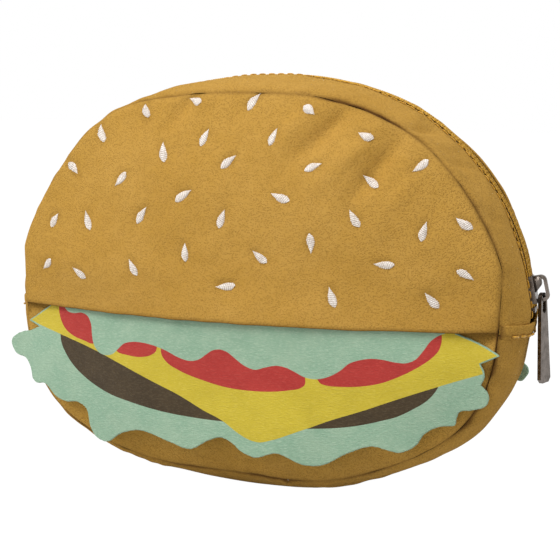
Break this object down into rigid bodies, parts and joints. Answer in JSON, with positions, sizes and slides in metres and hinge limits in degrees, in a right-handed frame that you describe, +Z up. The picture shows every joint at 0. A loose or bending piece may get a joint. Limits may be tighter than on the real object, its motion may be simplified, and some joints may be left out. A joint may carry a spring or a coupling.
{
  "type": "zip pouch",
  "caption": "Thick round zip pouch shaped like a hamburger, with embroidered seeds, hanging felt fillings and a slider on a curved zip.",
  "frame": {"origin": "middle of the flat patch under the pouch that it stands on", "axes": "+Z up, the front face looks along -Y, the closed end of the zip is at +X"},
  "size_m": [0.2255, 0.0946, 0.1738],
  "materials": {
    "suede": "napped suede, mustard tan",
    "foam": "soft foam interlining",
    "lining": "plain woven lining",
    "felt": "printed green felt",
    "thread": "mustard polyester thread",
    "seed_thread": "off-white satin stitch",
    "tape": "woven zip tape",
    "coil": "nylon coil",
    "metal": "gunmetal plate"
  },
  "bodies": {
    "bag": {"back_bun_padding": "foam", "back_bun_panel": "suede", "back_hem_fold": "suede", "back_lining": "lining", "back_lower_padding": "foam", "back_lower_panel": "suede", "back_seam_binding": "lining", "back_seeds": "seed_thread", "bottom_gusset": "suede", "closed_end_stops": "metal", "end_tab_left": "suede", "end_tab_right": "suede", "front_bun_padding": "foam", "front_bun_panel": "suede", "front_hem_fold": "suede", "front_lining": "lining", "front_lower_padding": "foam", "front_lower_panel": "suede", "front_seam_binding": "lining", "front_seeds": "seed_thread", "lining_gusset": "lining", "open_end_stop": "metal", "strip_stitching_back": "thread", "strip_stitching_front": "thread", "tab_stitching_left": "thread", "tab_stitching_right": "thread", "zip_coil_back": "coil", "zip_coil_front": "coil", "zip_strip_back": "suede", "zip_strip_front": "suede", "zip_tape_back": "tape", "zip_tape_front": "tape"},
    "slider": {"slider_body": "metal", "slider_bridge": "metal"},
    "puller": {"puller_bar": "metal"},
    "front_filling": {"front_filling_felt": "felt"},
    "back_filling": {"back_filling_felt": "felt"}
  },
  "joints": [
    {"name": "slider_travel", "type": "hinge", "parent": "bag", "child": "slider", "pos_m": [0, 0, 0.0631], "axis": [0, -1, 0], "range_deg": [0, 153]},
    {"name": "puller_swing", "type": "hinge", "parent": "slider", "child": "puller", "pos_m": [0.11152, 0, 0.08689], "axis": [0, -1, 0], "range_deg": [0, 140]},
    {"name": "front_filling_lift", "type": "hinge", "parent": "bag", "child": "front_filling", "pos_m": [0, -0.0468, 0.0744], "axis": [-1, 0, 0], "range_deg": [0, 35], "stiffness_Nm_per_rad": 0.004, "springref_deg": -22.92},
    {"name": "back_filling_lift", "type": "hinge", "parent": "bag", "child": "back_filling", "pos_m": [0, 0.0468, 0.0744], "axis": [1, 0, 0], "range_deg": [0, 35], "stiffness_Nm_per_rad": 0.004, "springref_deg": -22.92}
  ]
}
